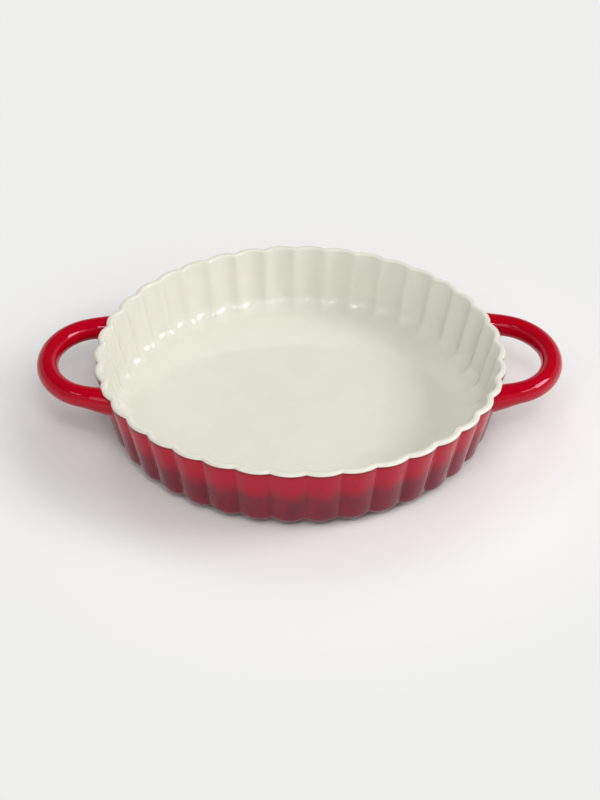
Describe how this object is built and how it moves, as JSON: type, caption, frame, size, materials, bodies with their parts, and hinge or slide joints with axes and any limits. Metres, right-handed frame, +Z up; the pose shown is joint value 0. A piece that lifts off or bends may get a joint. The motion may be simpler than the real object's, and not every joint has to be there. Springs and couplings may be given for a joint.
{
  "type": "baking dish",
  "caption": "Round stoneware baking dish with a fluted, tapering side, a flat floor, a low foot ring and a loop handle on each side.",
  "frame": {"origin": "centre of the circle on which the foot ring stands, on the table", "axes": "+Z up, +X through the middle of one handle, +Y towards the back, with the two handles at +X and -X"},
  "size_m": [0.3474, 0.271, 0.051],
  "materials": {
    "glazed_stoneware": "glossy glazed stoneware: red darkening to maroon at the base outside and on the handles, off-white inside and over the rim, bare clay under the foot ring"
  },
  "bodies": {
    "root": {"dish": "glazed_stoneware"}
  },
  "joints": []
}
